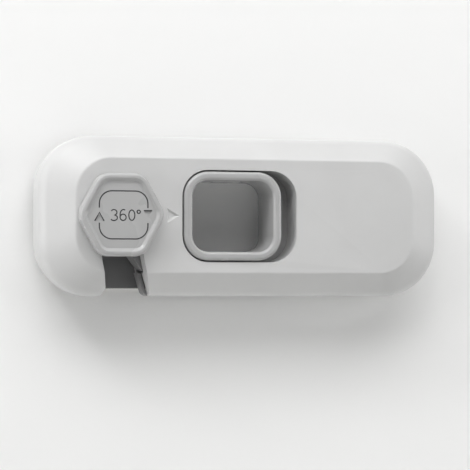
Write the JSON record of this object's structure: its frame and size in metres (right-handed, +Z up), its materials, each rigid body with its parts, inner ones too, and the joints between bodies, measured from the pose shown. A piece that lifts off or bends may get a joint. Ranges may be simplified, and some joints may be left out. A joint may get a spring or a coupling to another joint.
{
  "type": "cabinet safety lock",
  "caption": "Stick-on door lock: a long rounded casing swings on one door plate and its slot hooks the neck of a hexagonal stud on the other, held by a spring latch behind a slide button.",
  "frame": {"origin": "on the casing's swing axis, where it meets the adhesive face of the right-hand door plate", "axes": "+X along the casing to its right end, +Z up the door, +Y into the door, so the front faces -Y"},
  "size_m": [0.12, 0.0234, 0.046],
  "materials": {
    "shell_white": "satin moulded white ABS",
    "grey_plastic": "satin moulded grey ABS",
    "dark_plastic": "satin moulded dark grey acetal",
    "steel": "zinc plated steel",
    "foam_tape": "closed-cell adhesive foam"
  },
  "bodies": {
    "door_side": {"base_plate": "shell_white", "base_pad": "foam_tape", "slip_washer": "dark_plastic", "pivot_washer": "steel", "pivot_screw": "steel", "stud_base": "dark_plastic", "stud_pad": "foam_tape"},
    "lock_body": {"front_shell": "shell_white", "rear_cover": "shell_white", "slot_guide": "dark_plastic", "cover_screws": "steel", "upper_spring": "steel", "lower_spring": "steel"},
    "slider": {"slide_button": "grey_plastic", "latch_bolt": "dark_plastic", "latch_screws": "steel"},
    "knob": {"hex_knob": "grey_plastic", "knob_washer": "steel", "knob_screw": "steel"}
  },
  "joints": [
    {"name": "body_swing", "type": "hinge", "parent": "door_side", "child": "lock_body", "pos_m": [0, 0, 0], "axis": [0, 1, 0], "range_deg": [0, 90]},
    {"name": "button_slide", "type": "slide", "parent": "lock_body", "child": "slider", "axis": [1, 0, 0], "range_m": [0, 0.0042], "stiffness_N_per_m": 300, "springref_m": -0.006, "deforming": ["upper_spring", "lower_spring"]},
    {"name": "knob_turn", "type": "hinge", "parent": "door_side", "child": "knob", "pos_m": [-0.072, 0, 0], "axis": [0, 1, 0], "continuous": true}
  ]
}
